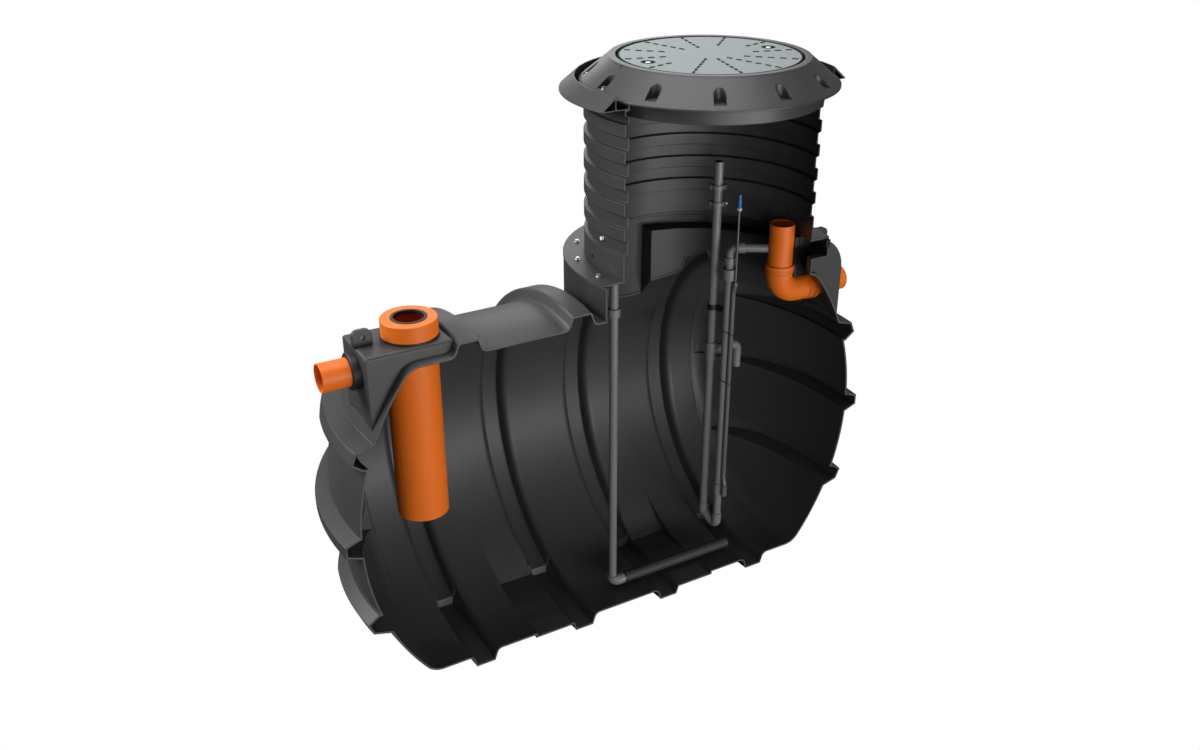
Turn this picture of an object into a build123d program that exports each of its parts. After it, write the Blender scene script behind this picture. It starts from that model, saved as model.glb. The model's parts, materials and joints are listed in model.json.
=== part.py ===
# Packaged sewage treatment plant, cut open along its length to show the pipes inside.
import os
from math import atan2, cos, degrees, radians, sin, sqrt

from build123d import *

os.makedirs("parts", exist_ok=True)

wall = 8.0
cut_y = -158.0
upper_cut_y = -145.0
fit = 0.3
far = 4000.0

axis_z = 755.0
hull_r = 720.0
cap_r = 1120.0
cap_x = 76.0
knuckle_r = 90.0
inlet_split_x = -905.0
outlet_split_x = 895.0

rib_xs = (221.0, 700.0)
rib_r = 771.0
rib_half = 43.0
rib_base_half = 61.0
rib_root_r = 25.0
rib_crest_r = 12.0
rib_taper = 0.7
foot_half = 290.0
foot_flare_z = 60.0
foot_root_z = 300.0
pad_x0 = 270.0
pad_x1 = 460.0
pad_z = 37.0
pad_half = 256.0
pad_side_y = 440.0
pad_side_z = 185.0
pad_root_z = 400.0

band_r = 1180.0
band_root_r = 1000.0
band_half = 24.0
band_base_half = 47.0
band_gap = 3.0
side_band = ((900, 327), (1079, 327), (1126, 362), (1106, 411), (1033, 432), (900, 432))
mid_trim_x = 279.0
mid_trim_r = 983.0
side_trim_x = 393.6
side_trim_r = 821.0

neck_x = 439.0
neck_r = 578.0
low_neck_r = 497.0
neck_step_x = 507.0
neck_low_z = 1100.0
neck_top = 1596.0
shelf_z = neck_top - 81.0

box_half = 124.0
box_low_z = 1100.0
inlet_box_x0 = -1086.0
inlet_box_x1 = -741.0
inlet_box_top = 1514.0
inlet_box_round = 14.0
outlet_box_x0 = 850.0
outlet_box_x1 = 1106.0
outlet_box_top = 1590.0
outlet_box_round = 158.0
hole_gap = 1.0

flange_r = 580.0
flange_t = 8.0
flange_top = neck_top + flange_t
flange_in = 483.0
flange_bolt_count = 16
flange_bolt_at = 530.0
flange_bolt_turn = 5.5
flange_bolt_r = 7.5
flange_bolt_h = 10.0
flange_washer_r = 11.0
flange_washer_t = 2.5
flange_bolt_edge = 10.0
gasket_low = neck_top - 33.0
gasket_t = 7.0

crest_r = 491.0
valley_r = 477.0
riser_t = 5.0
foot_band_top = flange_top + 104.0
crest_first = flange_top + 187.0
crest_pitch = 101.5
crest_half = 23.0
crest_run = 5.0
crest_count = 5
seat_drop = 44.5
seat_low = crest_first + crest_count * crest_pitch - seat_drop
seat_z = seat_low + 22.0
riser_top = seat_z + 28.0

frame_r = 510.0
skirt_gap = 20.0
skirt_reach = 57.0
skirt_top_r = frame_r + skirt_gap
skirt_r = skirt_top_r + skirt_reach
skirt_t = 4.0
skirt_slope_t = 10.0
skirt_top = seat_z + 54.0

frame_edge = riser_top + 7.0
collar_r = 451.0
collar_in = 441.0
collar_low = riser_top - 61.0
collar_bend_z = riser_top - 19.0
frame_in_r = 385.0
frame_mid_r = 420.0
frame_mid_z = riser_top + 11.0
rim_r = 399.5
rim_round = 6.0
lid_r = 357.0
lid_top = riser_top + 100.0
lid_t = 40.0
lid_gap = 10.0
lid_bolt_at = 282.0
lid_bolt_dip = 12.0
lid_bolt_r = 10.0
lid_washer_r = 17.0
lid_edge = 3.0
washer_t = 3.0
rim_top = lid_top + 2.0
ledge_r = 335.0
ledge_t = 12.0
pocket_count = 12
pocket_at = 454.0
pocket_r = 23.0
pocket_z = frame_edge + 13.0
pocket_turn = -120.0
frame_bolt_at = 474.0
frame_bolt_r = 8.0
frame_bolt_h = 10.0
frame_washer_r = 12.0

pipe_r = 55.0
pipe_t = 3.2
inlet_z = inlet_box_top - 94.5
inlet_end = -1226.0
spigot_gap = 2.0
held_r = pipe_r - 1.5
seal_r = 72.0
seal_x = 30.0
seal_round = 5.0
inlet_reach = 12.0
dip_x = -867.0
dip_r = 101.4
dip_t = 4.0
dip_low = 751.0
dip_top = inlet_box_top + 58.0
dip_collar_r = 108.2
dip_collar_low = inlet_box_top + 7.0
dip_collar_top = dip_top + 13.0
dip_mouth_r = 69.0
dip_hole_deep = 60.0
collar_round = 3.0
collar_seal_lip = 3.0
mouth_seal_t = 12.0
mouth_seal_lip = 2.0

outlet_z = 1325.0
upstand_x = 859.5
upstand_top = outlet_z + 318.5
upstand_edge = 1.0
bend_r = 90.0
bend_wall = 2.0
socket_r = 61.5
socket_step = 5.0
socket_top = outlet_z + 133.0
bead_h = 20.0
bead_r = 64.0
socket_end = 1050.0
socket_deep = 45.0
outlet_end = 1210.0
bracket_z = outlet_z + 71.0
bracket_h = neck_top - 13.0 - bracket_z
bracket_x = 40.0
bracket_len = 84.0
bracket_w = 90.0
bracket_slots = 6
bracket_slot = 5.0
bracket_slot_deep = 14.0
bracket_solid = 2
bracket_pitch = 11.0

column_x = -5.5
column_y = -33.0
column_r = 18.0
thin = 2.5
column_low = 124.0
column_top = 1755.0
column_joint_zs = (1408.0, 1716.0)
column_joint_h = 36.0
column_joint_r = column_r + 8.0
diffuser_z = 88.0
diffuser_r = 24.0
diffuser_run = 60.0
diffuser_end = 624.0
elbow_bend = 32.0

lift_x = 677.0
lift_y = 120.0
lift_r = 19.0
lift_low = 150.0
lift_top = outlet_z + 203.0
lift_bend = 32.0
lift_branch_drop = 60.0
lift_branch_cut = 120.0
union_r = 31.0
union_z = 1380.0
union_h = 50.0
coupler_r = 24.0
coupler_z = 266.0
coupler_h = 57.0
feed_x = 653.0
feed_y = 200.0
feed_r = 20.0
feed_low = 175.0
feed_top = 1898.0
foot_r = 23.0
foot_bore = 12.0
foot_z = 74.0
foot_turn_z = 130.0
foot_bend_r = 18.0
joint_t = 6.0
tee_z = 1004.0
tee_half = 45.0
branch_end = 804.0
branch_low = 890.0
branch_bend = 26.0
clip_z = 1225.0
clip_h = 26.0
clip_web = (22.0, 50.0)
clamp_zs = (1700.0, 1775.0)
clamp_h = 20.0
clamp_t = 7.0
air_r = 7.0
air_top = 1700.0
air_connector_h = 60.0
air_grip_t = 4.0

lug_w = 76.0
lug_h = 62.0
lug_t = 22.0
lug_round = 24.0
lug_hole_r = 11.0
lug_hole_down = 29.0
lug_y = -4.0
inlet_lug_x = inlet_box_x0 + 32.0
outlet_lug_x = outlet_box_x1 - 40.0
outlet_lug_low = outlet_box_top - 150.0
outlet_lug_h = 148.0


def tube(outer, inner, low, high, at=(0, 0)):
    with BuildPart() as ring:
        with Locations((at[0], at[1], low)):
            Cylinder(outer, high - low, align=(Align.CENTER, Align.CENTER, Align.MIN))
            Cylinder(inner, high - low, align=(Align.CENTER, Align.CENTER, Align.MIN), mode=Mode.SUBTRACT)
    return ring.part


def turned(points, at_x=0.0):
    with BuildPart() as body:
        with BuildSketch(Plane.XZ):
            with BuildLine():
                Polyline(*[(at_x + r, z) for r, z in points], close=True)
            make_face()
        revolve(axis=Axis((at_x, 0, 0), (0, 0, 1)))
    return body.part


def run(points, outer, inner, bend):
    with BuildPart() as pipe:
        with BuildLine() as path:
            FilletPolyline(*points, radius=bend)
        for r, mode in ((outer, Mode.ADD), (inner, Mode.SUBTRACT)):
            with BuildSketch(Plane(path.line @ 0, z_dir=path.line % 0)):
                Circle(r)
            sweep(path=path.line, mode=mode)
    return pipe.part


def front_block(plane_y):
    with BuildPart() as block:
        with Locations((0, plane_y, axis_z)):
            Box(far, far, far, align=(Align.CENTER, Align.MAX, Align.CENTER))
    return block.part


def band_form(points, trim_x, trim_r, inset):
    with BuildPart() as band:
        with BuildSketch(Plane.XZ):
            with BuildLine():
                Polyline(*[(cap_x + r, axis_z + z) for r, z in points], close=True)
            make_face()
            if inset:
                offset(amount=-inset, kind=Kind.INTERSECTION, mode=Mode.REPLACE)
        revolve(axis=Axis((cap_x, 0, 0), (0, 0, 1)))
        with Locations((trim_x, 0, axis_z)):
            Cylinder(trim_r - inset, far, mode=Mode.INTERSECT)
        with Locations(Location((0, 0, axis_z), (0, 90, 0))):
            Cylinder(hull_r - inset - band_gap, far, mode=Mode.INTERSECT)
        with Locations((rib_xs[1] + rib_base_half, 0, axis_z)):
            Box(far, far, far, align=(Align.MIN, Align.CENTER, Align.CENTER), mode=Mode.INTERSECT)
    return band.part


def hull_form(inset):
    r = hull_r - inset
    crest = rib_r - inset
    half = rib_half - rib_taper * inset
    base = rib_base_half - rib_taper * inset
    cap = cap_r - inset
    join_x = cap_x + sqrt(cap * cap - r * r)
    with BuildPart() as form:
        with BuildSketch(Plane((0, 0, axis_z), x_dir=(1, 0, 0), z_dir=(0, -1, 0))) as side:
            with BuildLine():
                points = [(cap_x + cap, 0), (0, 0), (0, r)]
                for x in rib_xs:
                    points += [(x - base, r), (x - half, crest), (x + half, crest), (x + base, r)]
                Polyline(*points, (join_x, r))
                CenterArc((cap_x, 0), cap, 0, degrees(atan2(r, join_x - cap_x)))
            make_face()
            ribbed = [v for v in side.vertices() if rib_xs[0] - base - 1 < v.X < rib_xs[1] + base + 1]
            fillet([v for v in ribbed if abs(v.Y - r) < 1], rib_root_r + inset)
            fillet([v for v in side.vertices() if abs(v.Y - crest) < 1], rib_crest_r - inset)
            fillet([v for v in side.vertices() if abs(v.X - join_x) < 1], knuckle_r - inset)
        revolve(axis=Axis((0, 0, axis_z), (1, 0, 0)))
        for x in rib_xs:
            with BuildSketch(Plane.XZ.offset(-foot_half + inset)):
                with BuildLine():
                    Polyline((x - half, inset), (x + half, inset), (x + base, foot_flare_z),
                             (x + base, foot_root_z), (x - base, foot_root_z), (x - base, foot_flare_z),
                             close=True)
                make_face()
            extrude(amount=2 * (foot_half - inset))
        with BuildSketch(Plane.YZ.offset(pad_x0)):
            with BuildLine():
                Polyline((-pad_half, pad_z), (pad_half, pad_z), (pad_side_y, pad_side_z),
                         (pad_side_y, pad_root_z), (-pad_side_y, pad_root_z), (-pad_side_y, pad_side_z),
                         close=True)
            make_face()
            if inset:
                offset(amount=-inset, kind=Kind.INTERSECTION, mode=Mode.REPLACE)
        extrude(amount=pad_x1 - pad_x0 - inset)
        with Locations((0, 0, inset)):
            Box(far, far, axis_z, align=(Align.CENTER, Align.CENTER, Align.MAX), mode=Mode.SUBTRACT)
        mid = [(band_root_r, -band_base_half), (cap_r, -band_base_half), (band_r, -band_half)]
        mid += [(r0, -z0) for r0, z0 in reversed(mid)]
        add(band_form(mid, mid_trim_x, mid_trim_r, inset))
        add(band_form(side_band, side_trim_x, side_trim_r, inset))
        add(band_form([(r0, -z0) for r0, z0 in reversed(side_band)], side_trim_x, side_trim_r, inset))
        mirror(about=Plane.YZ)
    return form.part


def inlet_box_form(inset):
    with BuildPart() as form:
        with Locations((inlet_box_x0 + inset, 0, box_low_z)):
            Box(inlet_box_x1 - inlet_box_x0 - 2 * inset, 2 * (box_half - inset),
                inlet_box_top - inset - box_low_z, align=(Align.MIN, Align.CENTER, Align.MIN))
        fillet(form.faces().sort_by(Axis.Z)[-1].edges(), inlet_box_round - inset)
    return form.part


def outlet_box_form(inset):
    with BuildPart() as form:
        with Locations((outlet_box_x0, 0, box_low_z)):
            Box(outlet_box_x1 - outlet_box_x0 - inset, 2 * (box_half - inset),
                outlet_box_top - inset - box_low_z, align=(Align.MIN, Align.CENTER, Align.MIN))
        fillet(form.edges().filter_by(Axis.Y).sort_by(Axis.Z).group_by(Axis.Z)[-1].sort_by(Axis.X)[-1],
               outlet_box_round - inset)
    return form.part


def neck_form(inset):
    top = neck_top + (far if inset else 0)
    with BuildPart() as form:
        with Locations((neck_x, 0, neck_low_z)):
            Cylinder(neck_r - inset, top - neck_low_z, align=(Align.CENTER, Align.CENTER, Align.MIN))
        with Locations((neck_step_x - inset, 0, neck_low_z)):
            Box(far, far, shelf_z + inset - neck_low_z, align=(Align.MIN, Align.CENTER, Align.MIN),
                mode=Mode.SUBTRACT)
        with Locations((neck_x, 0, neck_low_z)):
            Cylinder(low_neck_r - inset, top - neck_low_z, align=(Align.CENTER, Align.CENTER, Align.MIN))
    return form.part


front = front_block(cut_y)
upper_front = front_block(upper_cut_y)
hull_solid = hull_form(0)
neck_solid = neck_form(0)
neck_space = neck_form(wall)
inlet_box_space = inlet_box_form(wall)
outlet_box_space = outlet_box_form(wall)

with BuildPart() as hull:
    add(hull_solid)
    add(hull_form(wall), mode=Mode.SUBTRACT)
    add(neck_space, mode=Mode.SUBTRACT)
    add(inlet_box_space, mode=Mode.SUBTRACT)
    add(outlet_box_space, mode=Mode.SUBTRACT)
    add(front, mode=Mode.SUBTRACT)

with BuildPart() as barrel:
    add(hull.part)
    with Locations((inlet_split_x, 0, axis_z)):
        Box(outlet_split_x - inlet_split_x, far, far, align=(Align.MIN, Align.CENTER, Align.CENTER),
            mode=Mode.INTERSECT)

with BuildPart() as inlet_end_wall:
    add(hull.part)
    with Locations((inlet_split_x, 0, axis_z)):
        Box(far, far, far, align=(Align.MAX, Align.CENTER, Align.CENTER), mode=Mode.INTERSECT)

with BuildPart() as outlet_end_wall:
    add(hull.part)
    with Locations((outlet_split_x, 0, axis_z)):
        Box(far, far, far, align=(Align.MIN, Align.CENTER, Align.CENTER), mode=Mode.INTERSECT)

with BuildPart() as inlet_box:
    add(inlet_box_form(0))
    add(inlet_box_space, mode=Mode.SUBTRACT)
    add(hull_solid, mode=Mode.SUBTRACT)
    with Locations((dip_x, 0, inlet_box_top)):
        Cylinder(dip_r + hole_gap, 4 * wall, mode=Mode.SUBTRACT)
    with Locations(Location((inlet_box_x0, 0, inlet_z), (0, 90, 0))):
        Cylinder(pipe_r + hole_gap, 4 * wall, mode=Mode.SUBTRACT)

with BuildPart() as outlet_box:
    add(outlet_box_form(0))
    add(outlet_box_space, mode=Mode.SUBTRACT)
    add(hull_solid, mode=Mode.SUBTRACT)
    add(neck_solid, mode=Mode.SUBTRACT)
    with Locations(Location((outlet_box_x1, 0, outlet_z), (0, 90, 0))):
        Cylinder(pipe_r + hole_gap, 4 * wall, mode=Mode.SUBTRACT)

with BuildPart() as neck:
    add(neck_solid)
    add(neck_space, mode=Mode.SUBTRACT)
    add(hull_solid, mode=Mode.SUBTRACT)
    add(outlet_box_space, mode=Mode.SUBTRACT)
    add(front, mode=Mode.SUBTRACT)

with BuildPart() as flange:
    add(tube(flange_r, flange_in, neck_top, flange_top, (neck_x, 0)))
    add(upper_front, mode=Mode.SUBTRACT)

with BuildPart() as neck_gasket:
    add(tube(neck_r - wall, neck_r - wall - gasket_t, gasket_low, neck_top, (neck_x, 0)))
    add(front, mode=Mode.SUBTRACT)

outside = [(crest_r, flange_top), (crest_r, foot_band_top), (valley_r, foot_band_top + crest_run)]
for n in range(crest_count):
    mid_z = crest_first + n * crest_pitch
    outside += [(valley_r, mid_z - crest_half - crest_run), (crest_r, mid_z - crest_half),
                (crest_r, mid_z + crest_half), (valley_r, mid_z + crest_half + crest_run)]
outside += [(valley_r, seat_low - crest_run), (crest_r, seat_low), (crest_r, seat_z),
            (valley_r, seat_z), (valley_r, riser_top)]
inside = [(r - riser_t, z) for r, z in outside[:-3]] + [(crest_r - riser_t, seat_z - riser_t),
                                                      (valley_r - riser_t, seat_z - riser_t),
                                                      (valley_r - riser_t, riser_top)]
with BuildPart() as riser:
    add(turned(outside + list(reversed(inside)), neck_x))
    add(upper_front, mode=Mode.SUBTRACT)

plate_top = seat_z + skirt_t
with BuildPart() as skirt_ring:
    add(turned([(valley_r + fit, seat_z), (skirt_r, seat_z), (skirt_r, plate_top), (skirt_top_r, skirt_top),
                (skirt_top_r - skirt_t, skirt_top), (skirt_top_r - skirt_t, plate_top),
                (valley_r + fit, plate_top)], neck_x))
    add(turned([(skirt_top_r, plate_top), (skirt_r - skirt_slope_t, plate_top),
                (skirt_top_r, skirt_top - skirt_slope_t)], neck_x), mode=Mode.SUBTRACT)
    add(upper_front, mode=Mode.SUBTRACT)

seat_r = lid_r + lid_gap
ledge_z = lid_top - lid_t
with BuildPart() as lid_frame:
    add(turned([(collar_r, collar_low), (collar_r, riser_top), (frame_r, riser_top), (frame_r, frame_edge),
                (rim_r, rim_top - rim_round), (rim_r - rim_round, rim_top), (seat_r, rim_top),
                (seat_r, ledge_z), (ledge_r, ledge_z), (ledge_r, ledge_z - ledge_t),
                (frame_in_r, ledge_z - ledge_t), (frame_mid_r, frame_mid_z), (collar_in, collar_bend_z),
                (collar_in, collar_low)], neck_x))
    with Locations((neck_x, 0, pocket_z)):
        with PolarLocations(pocket_at, pocket_count, start_angle=pocket_turn):
            Cylinder(pocket_r, far, align=(Align.CENTER, Align.CENTER, Align.MIN), mode=Mode.SUBTRACT)
            Box(frame_r - pocket_at, 2 * pocket_r, far, align=(Align.MIN, Align.CENTER, Align.MIN),
                mode=Mode.SUBTRACT)

with BuildPart() as lid:
    with Locations((neck_x, 0, lid_top)):
        Cylinder(lid_r, lid_t, align=(Align.CENTER, Align.CENTER, Align.MAX))
    chamfer(lid.faces().sort_by(Axis.Z)[-1].edges(), lid_edge)
    for side in (-1, 1):
        with Locations((neck_x + side * lid_bolt_at, 0, lid_top)):
            Cylinder(2 * lid_bolt_dip, lid_bolt_dip, align=(Align.CENTER, Align.CENTER, Align.MAX),
                     mode=Mode.SUBTRACT)

with BuildPart() as lid_bolts:
    for side in (-1, 1):
        with Locations((neck_x + side * lid_bolt_at, 0, lid_top - lid_bolt_dip)):
            Cylinder(lid_washer_r, washer_t, align=(Align.CENTER, Align.CENTER, Align.MIN))
            Cylinder(lid_bolt_r, lid_bolt_dip, align=(Align.CENTER, Align.CENTER, Align.MIN))

with BuildPart() as frame_bolts:
    for n in range(pocket_count):
        turn = radians(pocket_turn + n * 360 / pocket_count)
        if frame_bolt_at * sin(turn) > cut_y:
            with Locations((neck_x + frame_bolt_at * cos(turn), frame_bolt_at * sin(turn), pocket_z)):
                Cylinder(frame_washer_r, washer_t, align=(Align.CENTER, Align.CENTER, Align.MIN))
                Cylinder(frame_bolt_r, frame_bolt_h, align=(Align.CENTER, Align.CENTER, Align.MIN))

with BuildPart() as flange_bolts:
    for n in range(flange_bolt_count):
        turn = radians(flange_bolt_turn + n * 360 / flange_bolt_count)
        if flange_bolt_at * sin(turn) > cut_y + flange_bolt_edge:
            with Locations((neck_x + flange_bolt_at * cos(turn), flange_bolt_at * sin(turn), flange_top)):
                Cylinder(flange_washer_r, flange_washer_t, align=(Align.CENTER, Align.CENTER, Align.MIN))
                Cylinder(flange_bolt_r, flange_bolt_h, align=(Align.CENTER, Align.CENTER, Align.MIN))


# A drain pipe whose free end is full size; the length held in the seal and box is a little slimmer.
def spigot_pipe(end_x, free, length, turn, z):
    with BuildPart() as pipe:
        with Locations(Location((end_x, 0, z), (0, turn, 0))):
            Cylinder(pipe_r, free, align=(Align.CENTER, Align.CENTER, Align.MIN))
            Cylinder(held_r, length, align=(Align.CENTER, Align.CENTER, Align.MIN))
            Cylinder(pipe_r - pipe_t, length, align=(Align.CENTER, Align.CENTER, Align.MIN),
                     mode=Mode.SUBTRACT)
    return pipe.part


with BuildPart() as inlet_pipe:
    add(spigot_pipe(inlet_end, inlet_box_x0 - seal_x - spigot_gap - inlet_end,
                    dip_x - dip_r + inlet_reach - inlet_end, 90, inlet_z))

with BuildPart() as inlet_seal:
    with Locations(Location((inlet_box_x0, 0, inlet_z), (0, 90, 0))):
        Cylinder(seal_r, seal_x, align=(Align.CENTER, Align.CENTER, Align.MAX))
        Cylinder(held_r + fit, seal_x, align=(Align.CENTER, Align.CENTER, Align.MAX), mode=Mode.SUBTRACT)
    fillet(inlet_seal.edges().filter_by(GeomType.CIRCLE).sort_by(Axis.X)[:1], seal_round)

with BuildPart() as dip_pipe:
    add(tube(dip_r, dip_r - dip_t, dip_low, dip_top, (dip_x, 0)))
    with Locations(Location((dip_x - dip_r, 0, inlet_z), (0, 90, 0))):
        Cylinder(held_r + fit, dip_hole_deep, mode=Mode.SUBTRACT)

with BuildPart() as dip_collar:
    add(turned([(dip_r + fit, dip_collar_low), (dip_collar_r, dip_collar_low),
                (dip_collar_r, dip_collar_top - collar_round), (dip_collar_r - collar_round, dip_collar_top),
                (dip_mouth_r, dip_collar_top), (dip_mouth_r, dip_top + fit), (dip_r + fit, dip_top + fit)],
               dip_x))

with BuildPart() as collar_seal:
    add(tube(dip_collar_r + collar_seal_lip, dip_r + hole_gap, inlet_box_top, dip_collar_low, (dip_x, 0)))

with BuildPart() as mouth_seal:
    add(tube(dip_mouth_r, dip_mouth_r - mouth_seal_t, dip_top + fit, dip_collar_top + mouth_seal_lip,
             (dip_x, 0)))

upstand_low = outlet_z + bend_r + socket_step
with BuildPart() as upstand:
    add(tube(pipe_r, pipe_r - pipe_t, upstand_low, upstand_top, (upstand_x, 0)))
    chamfer(upstand.edges().filter_by(GeomType.CIRCLE).sort_by(Axis.Z)[-1], upstand_edge)

with BuildPart() as outlet_bend:
    with BuildLine() as bend_path:
        FilletPolyline((upstand_x, 0, upstand_low), (upstand_x, 0, outlet_z),
                       (socket_end - socket_deep + socket_step, 0, outlet_z), radius=bend_r)
    with BuildSketch(Plane(bend_path.line @ 0, z_dir=bend_path.line % 0)):
        Circle(pipe_r + bend_wall)
    sweep(path=bend_path.line)
    with Locations((upstand_x, 0, outlet_z + bend_r)):
        Cylinder(socket_r, socket_top - outlet_z - bend_r, align=(Align.CENTER, Align.CENTER, Align.MIN))
    with Locations((upstand_x, 0, socket_top)):
        Cylinder(bead_r, bead_h, align=(Align.CENTER, Align.CENTER, Align.MAX))
    with Locations(Location((socket_end, 0, outlet_z), (0, 90, 0))):
        Cylinder(bead_r, bead_h, align=(Align.CENTER, Align.CENTER, Align.MAX))
        Cylinder(socket_r, socket_deep + socket_step, align=(Align.CENTER, Align.CENTER, Align.MAX))
        Cylinder(held_r + fit, socket_deep, align=(Align.CENTER, Align.CENTER, Align.MAX),
                 mode=Mode.SUBTRACT)
    with Locations((upstand_x, 0, upstand_low)):
        Cylinder(pipe_r + fit, socket_top, align=(Align.CENTER, Align.CENTER, Align.MIN), mode=Mode.SUBTRACT)
    with BuildSketch(Plane(bend_path.line @ 0, z_dir=bend_path.line % 0)):
        Circle(pipe_r - pipe_t)
    sweep(path=bend_path.line, mode=Mode.SUBTRACT)

with BuildPart() as outlet_pipe:
    add(spigot_pipe(outlet_end, outlet_end - outlet_box_x1 - seal_x - spigot_gap,
                    outlet_end - socket_end + socket_deep, -90, outlet_z))

with BuildPart() as outlet_seal:
    with Locations(Location((outlet_box_x1, 0, outlet_z), (0, 90, 0))):
        Cylinder(seal_r, seal_x, align=(Align.CENTER, Align.CENTER, Align.MIN))
        Cylinder(held_r + fit, seal_x, align=(Align.CENTER, Align.CENTER, Align.MIN), mode=Mode.SUBTRACT)

with BuildPart() as upstand_bracket:
    with Locations((upstand_x + bracket_x, 0, bracket_z)):
        Box(bracket_len, bracket_w, bracket_h, align=(Align.MIN, Align.CENTER, Align.MIN))
    for n in range(bracket_slots):
        slot_x = upstand_x + bracket_x + (n + bracket_solid) * bracket_pitch
        with Locations((slot_x, -bracket_w / 2, bracket_z)):
            Box(bracket_slot, bracket_slot_deep, bracket_h, align=(Align.MIN, Align.CENTER, Align.MIN),
                mode=Mode.SUBTRACT)
    with Locations((upstand_x, 0, bracket_z)):
        Cylinder(pipe_r + fit, far, mode=Mode.SUBTRACT)
    with Locations((upstand_x, 0, socket_top + fit)):
        Cylinder(bead_r + fit, far, align=(Align.CENTER, Align.CENTER, Align.MAX), mode=Mode.SUBTRACT)

with BuildPart() as column_pipe:
    add(tube(column_r, column_r - thin, column_low, column_top, (column_x, column_y)))

with BuildPart() as column_coupler:
    for z in column_joint_zs:
        add(tube(column_joint_r, column_r + fit, z, z + column_joint_h, (column_x, column_y)))

with BuildPart() as column_elbow:
    add(run([(column_x, column_y, column_low), (column_x, column_y, diffuser_z),
             (column_x + diffuser_run, column_y, diffuser_z)], diffuser_r, column_r - thin, elbow_bend))

with BuildPart() as diffuser:
    with Locations(Location((column_x + diffuser_run, column_y, diffuser_z), (0, 90, 0))):
        Cylinder(diffuser_r, diffuser_end - column_x - diffuser_run,
                 align=(Align.CENTER, Align.CENTER, Align.MIN))

with BuildPart() as lift_pipe:
    add(tube(lift_r, lift_r - thin, lift_low, lift_top - lift_branch_drop, (lift_x, lift_y)))

branch_len = sqrt((upstand_x - lift_x) ** 2 + lift_y ** 2)
branch_dx = (upstand_x - lift_x) / branch_len
branch_dy = -lift_y / branch_len
branch_stop = branch_len - pipe_r - fit
with BuildPart() as lift_outlet:
    add(run([(lift_x, lift_y, lift_top - lift_branch_drop), (lift_x, lift_y, lift_top),
             (lift_x + branch_dx * branch_stop, lift_y + branch_dy * branch_stop, lift_top)],
            lift_r, lift_r - thin, lift_bend))
    with Locations((upstand_x, 0, lift_top)):
        Cylinder(pipe_r + fit, lift_branch_cut, mode=Mode.SUBTRACT)

with BuildPart() as lift_union:
    add(tube(union_r, lift_r + fit, union_z, union_z + union_h, (lift_x, lift_y)))

with BuildPart() as lift_coupler:
    add(tube(coupler_r, lift_r + fit, coupler_z, coupler_z + coupler_h, (lift_x, lift_y)))

with BuildPart() as foot_bend:
    add(run([(feed_x, feed_y, feed_low), (feed_x, feed_y, foot_turn_z), (lift_x, lift_y, foot_z),
             (lift_x, lift_y, lift_low)], foot_r, foot_bore, foot_bend_r))

with BuildPart() as feed_pipe:
    add(tube(feed_r, feed_r - thin, feed_low, feed_top, (feed_x, feed_y)))

with BuildPart() as feed_tee:
    add(tube(feed_r + joint_t, feed_r + fit, tee_z - tee_half, tee_z + tee_half, (feed_x, feed_y)))
    with Locations(Location((feed_x, feed_y, tee_z), (0, 90, 0))):
        Cylinder(feed_r + joint_t, tee_half, align=(Align.CENTER, Align.CENTER, Align.MIN))
    with Locations((feed_x, feed_y, tee_z)):
        Cylinder(feed_r + fit, far, mode=Mode.SUBTRACT)

with BuildPart() as feed_branch:
    add(run([(feed_x + tee_half, feed_y, tee_z), (branch_end, feed_y, tee_z),
             (branch_end, feed_y, branch_low)], feed_r, feed_r - thin, branch_bend))

with BuildPart() as pipe_clip:
    with Locations((feed_x, feed_y, clip_z)):
        Cylinder(feed_r + joint_t, clip_h)
    with Locations((lift_x, lift_y, clip_z)):
        Cylinder(lift_r + joint_t, clip_h)
    with Locations(((feed_x + lift_x) / 2, (feed_y + lift_y) / 2, clip_z)):
        Box(*clip_web, clip_h)
    with Locations((feed_x, feed_y, clip_z)):
        Cylinder(feed_r + fit, 2 * clip_h, mode=Mode.SUBTRACT)
    with Locations((lift_x, lift_y, clip_z)):
        Cylinder(lift_r + fit, 2 * clip_h, mode=Mode.SUBTRACT)

with BuildPart() as feed_clamp:
    for z in clamp_zs:
        add(tube(feed_r + clamp_t, feed_r + fit, z, z + clamp_h, (feed_x, feed_y)))

# The air line lies against the lift pipe's union and its outlet branch.
air_side = lift_r + air_r + fit
air_from = union_r + air_r + fit
air_along = sqrt(air_from ** 2 - air_side ** 2)
air_x = lift_x + air_along * branch_dx + air_side * branch_dy
air_y = lift_y + air_along * branch_dy - air_side * branch_dx
air_low = coupler_z + coupler_h
with BuildPart() as air_pipe:
    with Locations((air_x, air_y, air_low)):
        Cylinder(air_r, air_top - air_low, align=(Align.CENTER, Align.CENTER, Align.MIN))

with BuildPart() as air_connector:
    with Locations((air_x, air_y, air_top)):
        Cylinder(air_r + air_grip_t, air_connector_h, align=(Align.CENTER, Align.CENTER, Align.MIN))

with BuildPart() as air_joint:
    with Locations((air_x, air_y, coupler_z)):
        Cylinder(air_from - coupler_r - fit, coupler_h, align=(Align.CENTER, Align.CENTER, Align.MIN))


def lug(at_x, foot, height):
    with BuildPart() as ear:
        with Locations((at_x, lug_y, foot)):
            Box(lug_w, lug_t, height, align=(Align.CENTER, Align.CENTER, Align.MIN))
        fillet(ear.edges().filter_by(Axis.Y).sort_by(Axis.Z)[-2:], lug_round)
        with Locations(Location((at_x, lug_y, foot + height - lug_hole_down), (90, 0, 0))):
            Cylinder(lug_hole_r, 2 * lug_t, mode=Mode.SUBTRACT)
    return ear.part


with BuildPart() as inlet_lug:
    add(lug(inlet_lug_x, inlet_box_top, lug_h))

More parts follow.
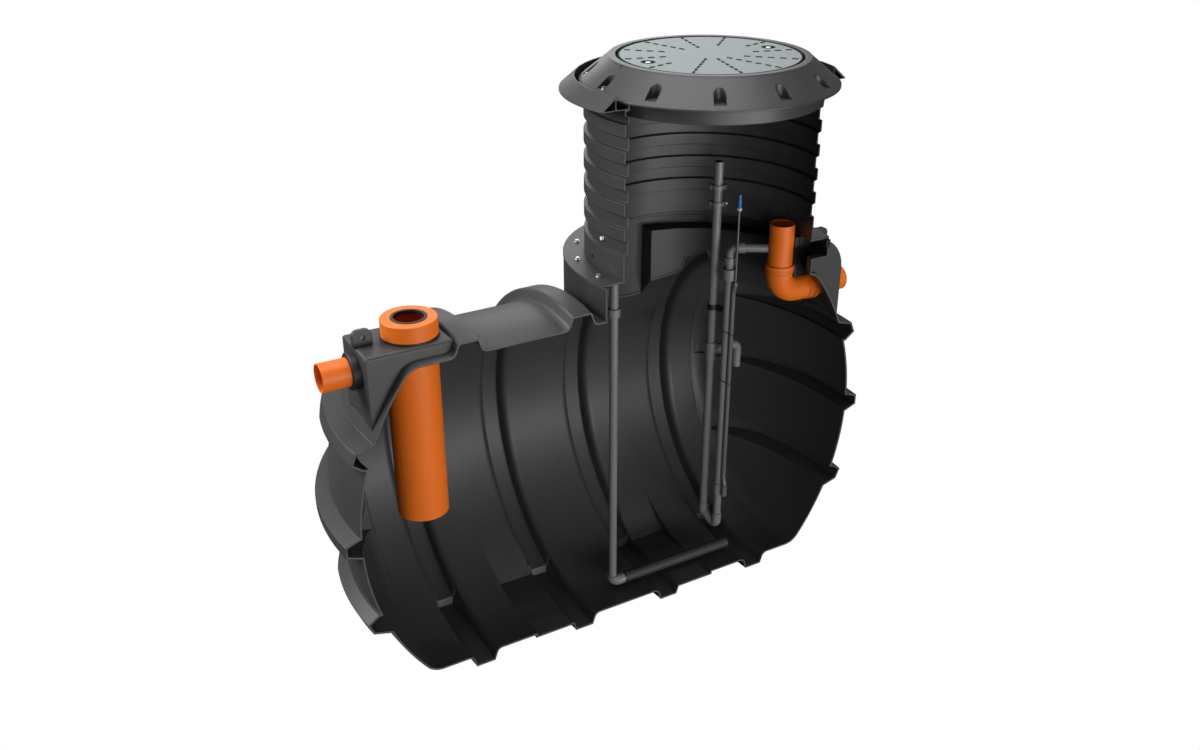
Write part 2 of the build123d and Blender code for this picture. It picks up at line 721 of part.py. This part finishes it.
with BuildPart() as outlet_lug:
    add(lug(outlet_lug_x, outlet_lug_low, outlet_lug_h))
    add(outlet_box_form(0), mode=Mode.SUBTRACT)
    add(neck_solid, mode=Mode.SUBTRACT)

middle_y = (rib_r - frame_r) / 2
for node, name in ((barrel, "barrel"), (inlet_end_wall, "inlet_end_wall"),
                   (outlet_end_wall, "outlet_end_wall"), (inlet_box, "inlet_box"),
                   (outlet_box, "outlet_box"), (neck, "neck"), (flange, "flange"),
                   (neck_gasket, "neck_gasket"), (riser, "riser"), (skirt_ring, "skirt_ring"),
                   (lid_frame, "lid_frame"), (lid, "lid"), (lid_bolts, "lid_bolts"),
                   (frame_bolts, "frame_bolts"), (flange_bolts, "flange_bolts"),
                   (inlet_pipe, "inlet_pipe"), (inlet_seal, "inlet_seal"), (dip_pipe, "dip_pipe"),
                   (dip_collar, "dip_collar"), (collar_seal, "collar_seal"), (mouth_seal, "mouth_seal"),
                   (upstand, "upstand"), (outlet_bend, "outlet_bend"), (outlet_pipe, "outlet_pipe"),
                   (outlet_seal, "outlet_seal"), (upstand_bracket, "upstand_bracket"),
                   (column_pipe, "column_pipe"), (column_coupler, "column_coupler"),
                   (column_elbow, "column_elbow"), (diffuser, "diffuser"), (lift_pipe, "lift_pipe"),
                   (lift_outlet, "lift_outlet"), (lift_union, "lift_union"),
                   (lift_coupler, "lift_coupler"), (foot_bend, "foot_bend"), (feed_pipe, "feed_pipe"),
                   (feed_tee, "feed_tee"), (feed_branch, "feed_branch"), (pipe_clip, "pipe_clip"),
                   (feed_clamp, "feed_clamp"), (air_pipe, "air_pipe"), (air_connector, "air_connector"),
                   (air_joint, "air_joint"), (inlet_lug, "inlet_lug"), (outlet_lug, "outlet_lug")):
    placed = node.part.moved(Location((0, -middle_y, 0)))
    placed.label = name
    export_step(placed, "parts/" + name + ".step")
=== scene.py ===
import json
import math

import bpy
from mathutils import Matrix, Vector


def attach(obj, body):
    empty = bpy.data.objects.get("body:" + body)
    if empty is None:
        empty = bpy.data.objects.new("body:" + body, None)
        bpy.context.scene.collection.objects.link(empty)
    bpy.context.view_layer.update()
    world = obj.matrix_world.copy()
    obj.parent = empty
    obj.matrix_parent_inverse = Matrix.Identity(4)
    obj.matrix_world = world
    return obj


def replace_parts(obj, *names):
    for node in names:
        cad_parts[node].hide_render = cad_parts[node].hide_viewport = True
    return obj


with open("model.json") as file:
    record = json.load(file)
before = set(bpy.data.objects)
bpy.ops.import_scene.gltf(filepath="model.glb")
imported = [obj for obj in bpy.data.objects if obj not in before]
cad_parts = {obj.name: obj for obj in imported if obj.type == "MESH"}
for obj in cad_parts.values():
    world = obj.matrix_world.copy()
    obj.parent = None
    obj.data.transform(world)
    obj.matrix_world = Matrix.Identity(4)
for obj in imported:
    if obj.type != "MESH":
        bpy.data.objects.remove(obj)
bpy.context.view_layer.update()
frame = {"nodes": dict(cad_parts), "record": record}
nodes = frame["nodes"]

# Places on the part, in metres, in the row's frame
MID_Y = -0.1305
NECK_X = 0.439
LID_Z = 2.404
TANK_CUT_Y = -0.2885
UPPER_CUT_Y = -0.2755
CUT_BAND = 0.0006
UPSTAND_X = 0.8595
OUTLET_Z = 1.325
FEED = Vector((0.653, 0.0695, 0))
LIFT = Vector((0.677, -0.0105, 1.528))
CLAMP_ZS = (1.71, 1.785)
AIR_TOP = 1.700
AIR_FOOT = 0.323
UNION_LOW = 1.378

ALONG, ACROSS, UP = Vector((1, 0, 0)), Vector((0, 1, 0)), Vector((0, 0, 1))
RIGHT, AHEAD = Vector((0.866, -0.5, 0)), Vector((0.5, 0.866, 0))


def extent(name):
    points = [nodes[name].matrix_world @ v.co for v in nodes[name].data.vertices]
    return [[pick(p[k] for p in points) for k in range(3)] for pick in (min, max)]


# Materials
def new_material(name):
    m = bpy.data.materials.new(name)
    m.use_nodes = True
    t = m.node_tree
    b = t.nodes["Principled BSDF"]
    return m, t, b


def add_node(t, kind, **values):
    n = t.nodes.new(kind)
    for k, v in values.items():
        if k in n.inputs:
            n.inputs[k].default_value = v
        else:
            setattr(n, k, v)
    return n


# A plastic with a slow change of tone, a fine grain, softened edges, painted shade in grooves and
# creases, and its own colour on the face where the part is cut open
def moulded(name, color, rough, grain=260.0, grain_strength=0.08, cloud=0.18, cut=None,
            cut_y=TANK_CUT_Y, edge=0.004, crease_shade=0.5, sheen=0.5):
    m, t, b = new_material(name)
    b.inputs["Specular IOR Level"].default_value = sheen
    place = add_node(t, "ShaderNodeNewGeometry")
    big = add_node(t, "ShaderNodeTexNoise", Scale=3.2, Detail=4.0, Roughness=0.55)
    t.links.new(place.outputs["Position"], big.inputs["Vector"])
    fine = add_node(t, "ShaderNodeTexNoise", Scale=grain, Detail=2.0)
    t.links.new(place.outputs["Position"], fine.inputs["Vector"])
    lo = [c * (1 - cloud) for c in color]
    hi = [min(1.0, c * (1 + cloud)) for c in color]
    mix = add_node(t, "ShaderNodeMix", data_type="RGBA")
    mix.inputs[6].default_value = (*lo, 1)
    mix.inputs[7].default_value = (*hi, 1)
    t.links.new(big.outputs["Fac"], mix.inputs[0])
    last = mix.outputs[2]
    if cut is not None:
        sep = add_node(t, "ShaderNodeSeparateXYZ")
        t.links.new(place.outputs["Position"], sep.inputs[0])
        near = add_node(t, "ShaderNodeMath", operation="LESS_THAN")
        near.inputs[1].default_value = cut_y + CUT_BAND
        t.links.new(sep.outputs["Y"], near.inputs[0])
        edged = add_node(t, "ShaderNodeMix", data_type="RGBA")
        edged.inputs[7].default_value = (*cut, 1)
        t.links.new(near.outputs[0], edged.inputs[0])
        t.links.new(last, edged.inputs[6])
        last = edged.outputs[2]
    # Painted shade: ambient occlusion darkens the colour in grooves, creases and recesses
    if crease_shade > 0:
        shut = add_node(t, "ShaderNodeAmbientOcclusion", samples=4, Distance=0.05)
        shade = add_node(t, "ShaderNodeMapRange")
        shade.inputs["From Min"].default_value = 0.25
        shade.inputs["From Max"].default_value = 0.9
        shade.inputs["To Min"].default_value = 1 - crease_shade
        t.links.new(shut.outputs["AO"], shade.inputs["Value"])
        crease_shaded = add_node(t, "ShaderNodeMix", data_type="RGBA", blend_type="MULTIPLY")
        crease_shaded.inputs[0].default_value = 1.0
        t.links.new(last, crease_shaded.inputs[6])
        t.links.new(shade.outputs[0], crease_shaded.inputs[7])
        last = crease_shaded.outputs[2]
    t.links.new(last, b.inputs["Base Color"])
    ramp = add_node(t, "ShaderNodeMapRange")
    ramp.inputs["To Min"].default_value = max(0.0, rough - 0.06)
    ramp.inputs["To Max"].default_value = min(1.0, rough + 0.08)
    t.links.new(big.outputs["Fac"], ramp.inputs["Value"])
    t.links.new(ramp.outputs[0], b.inputs["Roughness"])
    bump = add_node(t, "ShaderNodeBump", Strength=grain_strength, Distance=0.001)
    t.links.new(fine.outputs["Fac"], bump.inputs["Height"])
    if edge > 0:
        soft = add_node(t, "ShaderNodeBevel", samples=4, Radius=edge)
        t.links.new(soft.outputs[0], bump.inputs["Normal"])
    t.links.new(bump.outputs[0], b.inputs["Normal"])
    return m


body = moulded("body_plastic", (0.036, 0.036, 0.0365), 0.5, cut=(0.075, 0.075, 0.075), edge=0.007)
shaft = moulded("shaft_plastic", (0.033, 0.033, 0.0335), 0.48, cut=(0.042, 0.042, 0.043),
                cut_y=UPPER_CUT_Y, edge=0.0025, crease_shade=0.7)
# Painted shade: the neck's plastic is darker than the body's, standing in for the shade in and around the neck
neck_shaded_mat = moulded("neck_painted_shade", (0.024, 0.024, 0.0245), 0.45, cut=(0.06, 0.06, 0.06), edge=0.009)
frame_mat = moulded("frame_plastic", (0.039, 0.039, 0.0385), 0.45, edge=0.005, crease_shade=0.15)
lid_mat = moulded("lid_plastic", (0.19, 0.22, 0.227), 0.6, grain=180, cloud=0.08, edge=0.002, crease_shade=0.9)
dash_mat = moulded("dash_plastic", (0.003, 0.017, 0.019), 0.75, cloud=0.1, edge=0, crease_shade=0, sheen=0.12)
orange = moulded("orange_plastic", (0.72, 0.15, 0.010), 0.45, grain=60, grain_strength=0.02, cloud=0.05,
                 edge=0.0015, crease_shade=0, sheen=0.3)
orange_bsdf = orange.node_tree.nodes["Principled BSDF"]
orange_bsdf.inputs["Subsurface Weight"].default_value = 0.25
orange_bsdf.inputs["Subsurface Scale"].default_value = 0.006
grey = moulded("grey_plastic", (0.155, 0.155, 0.157), 0.38, grain=60, grain_strength=0.02, cloud=0.08,
               edge=0.0015, crease_shade=0.3)
seal = moulded("rubber", (0.006, 0.006, 0.006), 0.55, cloud=0.1, edge=0.002, crease_shade=0)
black = moulded("black_plastic", (0.007, 0.007, 0.007), 0.42, cloud=0.1, edge=0.001, crease_shade=0)
air = moulded("air_tube", (0.10, 0.10, 0.099), 0.32, cloud=0.08, edge=0, crease_shade=0)
blue = moulded("blue_plastic", (0.02, 0.1, 0.34), 0.35, cloud=0.08, edge=0.001, crease_shade=0)
steel = moulded("steel", (0.62, 0.62, 0.61), 0.3, grain=120, cloud=0.08, edge=0.001, crease_shade=0)
steel.node_tree.nodes["Principled BSDF"].inputs["Metallic"].default_value = 0.9
bright = moulded("zinc", (0.86, 0.86, 0.85), 0.4, grain=120, cloud=0.06, edge=0.001, crease_shade=0)
seam_mat = moulded("orange_seam", (0.33, 0.062, 0.006), 0.5, cloud=0.05, edge=0, crease_shade=0)
# Painted highlight: a light grey for the lit ends of two rib channels
ledge_highlight_mat = moulded("ledge_painted_highlight", (0.12, 0.12, 0.121), 0.4, edge=0, crease_shade=0)
membrane = moulded("membrane", (0.027, 0.0265, 0.026), 0.62, cloud=0.1, edge=0, crease_shade=0.2)
clear = moulded("clear_ring", (0.42, 0.42, 0.40), 0.3, cloud=0.08, edge=0, crease_shade=0)

# The two seams in the frame's rim are dark lines on both sides of the lid
SEAM_HALF = 0.007
SEAM_DEEP = 0.010
rim = frame_mat.node_tree
rim_place = add_node(rim, "ShaderNodeNewGeometry")
rim_split = add_node(rim, "ShaderNodeSeparateXYZ")
rim.links.new(rim_place.outputs["Position"], rim_split.inputs[0])
line = add_node(rim, "ShaderNodeMath", operation="COMPARE")
line.inputs[1].default_value = MID_Y
line.inputs[2].default_value = SEAM_HALF
rim.links.new(rim_split.outputs["Y"], line.inputs[0])
above = add_node(rim, "ShaderNodeMath", operation="GREATER_THAN")
above.inputs[1].default_value = LID_Z - SEAM_DEEP
rim.links.new(rim_split.outputs["Z"], above.inputs[0])
both = add_node(rim, "ShaderNodeMath", operation="MULTIPLY")
rim.links.new(line.outputs[0], both.inputs[0])
rim.links.new(above.outputs[0], both.inputs[1])
seamed = add_node(rim, "ShaderNodeMix", data_type="RGBA")
seamed.inputs[7].default_value = (0.006, 0.006, 0.006, 1)
frame_bsdf = rim.nodes["Principled BSDF"]
rim.links.new(frame_bsdf.inputs["Base Color"].links[0].from_socket, seamed.inputs[6])
rim.links.new(both.outputs[0], seamed.inputs[0])
rim.links.new(seamed.outputs[2], frame_bsdf.inputs["Base Color"])

# A node's own material comes before that of its slot
BY_NODE = {"diffuser": membrane, "neck": neck_shaded_mat, "lid_bolts": bright, "feed_clamp": grey, "lid": lid_mat,
           "lid_frame": frame_mat, "skirt_ring": shaft, "riser": shaft, "flange": shaft}
BY_SLOT = {"body": body, "lid": lid_mat, "bolt": steel, "orange_pipe": orange, "grey_pipe": grey,
           "seal": seal, "black_plastic": black, "air_line": air, "connector": blue}
slot_of = {s["node"]: s["material_slot"] for s in frame["record"]["subparts"]}
for name, o in nodes.items():
    o.data.materials.clear()
    o.data.materials.append(BY_NODE.get(name) or BY_SLOT[slot_of[name]])
    for p in o.data.polygons:
        p.material_index = 0


# Pieces
def mesh_piece(name, verts, faces, mat):
    me = bpy.data.meshes.new(name)
    me.from_pydata(verts, [], faces)
    me.materials.append(mat)
    me.update()
    o = bpy.data.objects.new(name, me)
    bpy.context.scene.collection.objects.link(o)
    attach(o, "root")
    return o


def box_at(verts, faces, centre, along, across, up, size):
    i = len(verts)
    c, a, b, u = Vector(centre), Vector(along), Vector(across), Vector(up)
    for sz in (-1, 1):
        for sx, sy in ((-1, -1), (1, -1), (1, 1), (-1, 1)):
            verts.append(c + a * sx * size[0] / 2 + b * sy * size[1] / 2 + u * sz * size[2] / 2)
    for f in ((0, 3, 2, 1), (4, 5, 6, 7), (0, 1, 5, 4), (1, 2, 6, 5), (2, 3, 7, 6), (3, 0, 4, 7)):
        faces.append([i + k for k in f])


def ring_at(verts, faces, centre, axis, radius, thick, steps=48, sides=10):
    i = len(verts)
    ax = Vector(axis).normalized()
    u = ax.orthogonal().normalized()
    v = ax.cross(u)
    for s in range(steps):
        a = 2 * math.pi * s / steps
        out = u * math.cos(a) + v * math.sin(a)
        for k in range(sides):
            b = 2 * math.pi * k / sides
            verts.append(Vector(centre) + out * (radius + thick * math.cos(b)) + ax * thick * math.sin(b))
    for s in range(steps):
        for k in range(sides):
            a0, a1 = i + s * sides, i + ((s + 1) % steps) * sides
            faces.append([a0 + k, a1 + k, a1 + (k + 1) % sides, a0 + (k + 1) % sides])


def drum_at(verts, faces, centre, axis, radius, height, steps=24, bore=0.0):
    i = len(verts)
    ax = Vector(axis).normalized()
    u = ax.orthogonal().normalized()
    v = ax.cross(u)
    rows = [(radius, 0), (radius, height)] + ([(bore, height), (bore, 0)] if bore else [])
    for s in range(steps):
        a = 2 * math.pi * s / steps
        for r, h in rows:
            verts.append(Vector(centre) + (u * math.cos(a) + v * math.sin(a)) * r + ax * h)
    k = len(rows)
    for s in range(steps):
        p, q = i + s * k, i + ((s + 1) % steps) * k
        for j in range(k if bore else 1):
            j2 = (j + 1) % k
            faces.append([p + j, q + j, q + j2, p + j2])
    if not bore:
        faces.append([i + s * k for s in reversed(range(steps))])
        faces.append([i + s * k + 1 for s in range(steps)])


def arc_at(verts, faces, centre, low, high, bore, radius, start, stop, steps=28):
    i = len(verts)
    for s in range(steps + 1):
        a = math.radians(start + (stop - start) * s / steps)
        for r, z in ((bore, low), (radius, low), (radius, high), (bore, high)):
            verts.append((centre[0] + r * math.cos(a), centre[1] + r * math.sin(a), z))
    for s in range(steps):
        p, q = i + s * 4, i + (s + 1) * 4
        for j in range(4):
            faces.append([p + j, q + j, q + (j + 1) % 4, p + (j + 1) % 4])
    faces.append([i, i + 1, i + 2, i + 3])
    last = i + steps * 4
    faces.append([last + 3, last + 2, last + 1, last])


# A thin flat band round two upright pipes, given as (centre, radius), that leans towards the right
def loop_at(verts, faces, rounds, z, lean, steps=48, thick=0.0011, half=0.0019):
    i = len(verts)
    start = Vector(rounds[0][0])
    for s in range(steps):
        a = 2 * math.pi * s / steps
        u = Vector((math.cos(a), math.sin(a)))
        at, r = max(rounds, key=lambda c: Vector(c[0]).dot(u) + c[1])
        for grow, rise in ((0, -half), (2 * thick, -half), (2 * thick, half), (0, half)):
            p = Vector(at) + u * (r + grow)
            verts.append((p.x, p.y, z + rise - lean * (p - start).dot(RIGHT.xy)))
    for s in range(steps):
        p, q = i + s * 4, i + ((s + 1) % steps) * 4
        for j in range(4):
            faces.append([p + j, q + j, q + (j + 1) % 4, p + (j + 1) % 4])


# Anti-slip dashes on the lid
DASH_FIRST_R = 0.329
DASH_PITCH = 0.046
DASH_SIZE = (0.024, 0.0085, 0.003)
DASH_RISE = 0.0005
DASH_ROWS = {15: 3, 45: 4, 75: 5, 105: 5, 135: 4, 165: 4, 195: 3, 225: 6, 255: 6, 285: 6, 315: 5, 345: 4}
verts, faces = [], []
for turn, count in DASH_ROWS.items():
    a = math.radians(turn)
    out = Vector((math.cos(a), math.sin(a), 0))
    side = Vector((-math.sin(a), math.cos(a), 0))
    for k in range(count):
        r = DASH_FIRST_R - DASH_PITCH * k
        box_at(verts, faces, Vector((NECK_X, MID_Y, LID_Z + DASH_RISE)) + out * r, out, side, UP, DASH_SIZE)
mesh_piece("lid_dashes", verts, faces, dash_mat)

# Dark edge of the lid and cups of its bolts
verts, faces = [], []
drum_at(verts, faces, (NECK_X, MID_Y, LID_Z - 0.004), UP, 0.3572, 0.0045, steps=128, bore=0.3515)
for side in (-1, 1):
    at = (NECK_X + side * 0.282, MID_Y, LID_Z - 0.0118)
    drum_at(verts, faces, at, UP, 0.0285, 0.0124, steps=40, bore=0.0205)
mesh_piece("lid_edge", verts, faces, dash_mat)

# Where the air line runs beside the lift pipe
air_low, air_high = extent("air_connector")
AIR = Vector(((air_low[0] + air_high[0]) / 2, (air_low[1] + air_high[1]) / 2, 0))
TO_AIR = AIR - Vector((LIFT.x, LIFT.y, 0))
AIR_OUT = TO_AIR.length
TO_AIR.normalize()
LINE_R = 0.0045
HOSE_R = 0.0105
TIE_R = 0.0195
TIE_ZS = (1.128, 0.880)
TIE_LEAN = 0.33
HOSE_OUT = TIE_R + HOSE_R

# The bolt in the riser's side and the screw of the lower clamp
verts, faces = [], []
drum_at(verts, faces, (-0.036, MID_Y, 1.74), -ALONG, 0.0075, 0.012)
drum_at(verts, faces, FEED + UP * CLAMP_ZS[0] + RIGHT * 0.036, RIGHT, 0.0045, 0.006)
mesh_piece("small_bolts", verts, faces, bright)

# Lumps of the clamps, cable ties, dots on the riser, the flange's hook and the diffuser's dark ring
verts, faces = [], []
for z in CLAMP_ZS:
    for side in (-1, 1):
        box_at(verts, faces, FEED + UP * z + RIGHT * side * 0.030, RIGHT, AHEAD, UP, (0.014, 0.018, 0.022))
for z in TIE_ZS:
    loop_at(verts, faces, ((LIFT.xy, TIE_R), ((LIFT + TO_AIR * HOSE_OUT).xy, HOSE_R + 0.0003)), z, TIE_LEAN)
drum_at(verts, faces, (-0.047, -0.0615, 1.645), (-0.99, 0.14, 0), 0.005, 0.004)
drum_at(verts, faces, (0.922, -0.0905, 1.666), -ALONG, 0.006, 0.006)
drum_at(verts, faces, (0.921, -0.1965, 1.666), (-0.99, 0.14, 0), 0.006, 0.006)
box_at(verts, faces, (0.9915, -0.2905, 1.578), ALONG, ACROSS, UP, (0.009, 0.004, 0.034))
tube_low, tube_high = extent("diffuser")
tube_at = (tube_low[0] - 0.001, (tube_low[1] + tube_high[1]) / 2, (tube_low[2] + tube_high[2]) / 2)
tube_r = (tube_high[2] - tube_low[2]) / 2
drum_at(verts, faces, tube_at, ALONG, tube_r + 0.0015, 0.008, steps=40, bore=tube_r - 0.0005)
mesh_piece("small_black_parts", verts, faces, black)

# Painted highlight: thin light plates on the ends of two rib channels, above their feet, for the light those
# faces catch
verts, faces = [], []
for x in (-0.7, -0.221):
    box_at(verts, faces, (x, 0.1512, 0.0278), ALONG, ACROSS, UP, (0.0746, 0.0008, 0.038))
mesh_piece("foot_ledge_highlights", verts, faces, ledge_highlight_mat)

# Sockets on the bend above the lift pipe
SOCKET_R = 0.0245
SOCKET_BORE = 0.0191
verts, faces = [], []
OUTLET = Vector((0.1825, -0.12, 0)).normalized()
drum_at(verts, faces, LIFT - UP * 0.078, UP, SOCKET_R, 0.034, steps=36, bore=SOCKET_BORE)
drum_at(verts, faces, LIFT + OUTLET * 0.034, OUTLET, SOCKET_R, 0.030, steps=36, bore=SOCKET_BORE)
mesh_piece("lift_bend_sockets", verts, faces, grey)

# Clip between the two pipes: a closed ring on the feed pipe and an open one behind the lift pipe
CLIP_T = 0.004
CLIP_GAP = 0.0002
CLIP_ARC = (-20, 182)
CLIP_WEB = 0.008
clip_low, clip_high = (side[2] for side in extent("pipe_clip"))
lift_low, lift_high = extent("lift_pipe")
lift_r = (lift_high[0] - lift_low[0]) / 2
feed_low, feed_high = extent("feed_pipe")
feed_r = (feed_high[0] - feed_low[0]) / 2
verts, faces = [], []
drum_at(verts, faces, FEED + UP * clip_low, UP, feed_r + CLIP_T, clip_high - clip_low, steps=40,
        bore=feed_r + CLIP_GAP)
arc_at(verts, faces, LIFT, clip_low, clip_high, lift_r + CLIP_GAP, lift_r + CLIP_T, *CLIP_ARC)
gap = Vector((LIFT.x, LIFT.y, 0)) - FEED
way = gap.normalized()
middle = FEED + way * (feed_r + gap.length - lift_r) / 2 + UP * (clip_low + clip_high) / 2
box_at(verts, faces, middle, way, UP.cross(way), UP,
       (gap.length - feed_r - lift_r - CLIP_T, CLIP_WEB, clip_high - clip_low))
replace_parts(mesh_piece("pipe_clip_open", verts, faces, black), "pipe_clip")

# Ring seams on the orange bend
SEAM_T = 0.0009
SEAM_R = (0.0637, 0.0620)
verts, faces = [], []
for z, r in zip((1.438, 1.4245), SEAM_R):
    ring_at(verts, faces, (UPSTAND_X, MID_Y, z), UP, r, SEAM_T, steps=64, sides=6)
for x, r in zip((1.030, 1.016), SEAM_R):
    ring_at(verts, faces, (x, MID_Y, OUTLET_Z), ALONG, r, SEAM_T, steps=64, sides=6)
mesh_piece("bend_seams", verts, faces, seam_mat)

# Air coupling: a slim blue body over a clear ring
verts, faces = [], []
for rise, r, height in ((0, 0.0085, 0.008), (0.018, 0.0088, 0.040), (0.058, 0.0070, 0.020)):
    drum_at(verts, faces, AIR + UP * (AIR_TOP + rise), UP, r, height)
coupling = mesh_piece("air_coupling", verts, faces, blue)
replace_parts(coupling, "air_connector")
verts, faces = [], []
drum_at(verts, faces, AIR + UP * (AIR_TOP + 0.008), UP, 0.0115, 0.010)
mesh_piece("air_coupling_ring", verts, faces, clear)

# Air line: a thin tube above the union, a wider hose against the lift pipe below it
# (height, distance from the lift pipe's axis, radius), from the top down
HOSE_STEPS = 28
HOSE_PATH = (
    (AIR_TOP, AIR_OUT, LINE_R), (UNION_LOW, AIR_OUT, LINE_R), (1.3775, AIR_OUT, HOSE_R), (1.362, AIR_OUT, HOSE_R),
    (1.354, AIR_OUT - 0.0012, HOSE_R), (1.342, AIR_OUT - 0.0048, HOSE_R), (1.330, HOSE_OUT + 0.0012, HOSE_R),
    (1.320, HOSE_OUT, HOSE_R), (0.372, HOSE_OUT, HOSE_R), (0.362, HOSE_OUT + 0.0012, HOSE_R),
    (0.350, AIR_OUT - 0.0048, HOSE_R), (0.338, AIR_OUT - 0.0012, HOSE_R), (0.330, AIR_OUT, HOSE_R),
    (AIR_FOOT, AIR_OUT, HOSE_R))
verts, faces = [], []
for z, out, r in HOSE_PATH:
    at = LIFT + TO_AIR * out
    for s in range(HOSE_STEPS):
        a = 2 * math.pi * s / HOSE_STEPS
        verts.append((at.x + r * math.cos(a), at.y + r * math.sin(a), z))
for k in range(len(HOSE_PATH) - 1):
    for s in range(HOSE_STEPS):
        p, q = k * HOSE_STEPS + s, k * HOSE_STEPS + (s + 1) % HOSE_STEPS
        faces.append([p, p + HOSE_STEPS, q + HOSE_STEPS, q])
faces.append(list(range(HOSE_STEPS)))
faces.append([(len(HOSE_PATH) - 1) * HOSE_STEPS + s for s in reversed(range(HOSE_STEPS))])
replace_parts(mesh_piece("air_hose", verts, faces, air), "air_pipe")

# Camera, as solved from the photo
scene = bpy.context.scene
cam_data = bpy.data.cameras.new("camera")
cam = bpy.data.objects.new("camera", cam_data)
scene.collection.objects.link(cam)
cam.location = (-2.2366, -3.9116, 3.3344)
cam.rotation_euler = (math.radians(90 - 26.69), 0, math.radians(-30.02))
cam_data.lens = 35.199
cam_data.sensor_width = 36
cam_data.clip_end = 60
scene.camera = cam

# Floor and world: white to the camera, dim to the part
FLOOR_HALF = 30
me = bpy.data.meshes.new("floor")
me.from_pydata([(FLOOR_HALF * x, FLOOR_HALF * y, 0) for x, y in ((-1, -1), (1, -1), (1, 1), (-1, 1))], [],
               [(0, 1, 2, 3)])
floor = bpy.data.objects.new("floor", me)
scene.collection.objects.link(floor)
fmat, ft, fb = new_material("floor_white")
fb.inputs["Base Color"].default_value = (0.06, 0.06, 0.06, 1)
fb.inputs["Roughness"].default_value = 0.9
rays = add_node(ft, "ShaderNodeLightPath")
white = add_node(ft, "ShaderNodeEmission", Color=(1, 1, 1, 1), Strength=1.0)
swap = add_node(ft, "ShaderNodeMixShader")
ft.links.new(rays.outputs["Is Camera Ray"], swap.inputs[0])
ft.links.new(fb.outputs[0], swap.inputs[1])
ft.links.new(white.outputs[0], swap.inputs[2])
ft.links.new(swap.outputs[0], ft.nodes["Material Output"].inputs["Surface"])
me.materials.append(fmat)

world = bpy.data.worlds.new("studio")
scene.world = world
world.use_nodes = True
wt = world.node_tree
back = wt.nodes["Background"]
back.inputs["Color"].default_value = (1, 1, 1, 1)
back.inputs["Strength"].default_value = 0.13
seen = add_node(wt, "ShaderNodeBackground")
seen.inputs["Color"].default_value = (1, 1, 1, 1)
path = add_node(wt, "ShaderNodeLightPath")
wmix = add_node(wt, "ShaderNodeMixShader")
wt.links.new(path.outputs["Is Camera Ray"], wmix.inputs[0])
wt.links.new(back.outputs[0], wmix.inputs[1])
wt.links.new(seen.outputs[0], wmix.inputs[2])
wt.links.new(wmix.outputs[0], wt.nodes["World Output"].inputs["Surface"])


def area(name, at, aim, size, power):
    d = bpy.data.lights.new(name, "AREA")
    d.energy = power
    d.shape = "RECTANGLE"
    d.size, d.size_y = size
    o = bpy.data.objects.new(name, d)
    scene.collection.objects.link(o)
    o.location = at
    o.rotation_euler = (Vector(aim) - Vector(at)).to_track_quat("-Z", "Y").to_euler()
    o.visible_camera = False


area("key", (-4.8, 2.2, 4.6), (0, 0, 1.3), (3.0, 3.0), 430)
area("back", (2.6, 5.2, 3.6), (0, 0, 1.5), (4.0, 2.0), 75)
area("top", (0.3, 0.4, 6.2), (0, 0, 1.5), (4.0, 4.0), 205)
area("front", (1.6, -5.8, 0.55), (0, 0, 0.65), (3.5, 1.0), 180)
area("fill", (-1.4, -5.9, 1.5), (0, 0, 1.4), (2.5, 1.6), 105)

scene.view_settings.view_transform = "Standard"
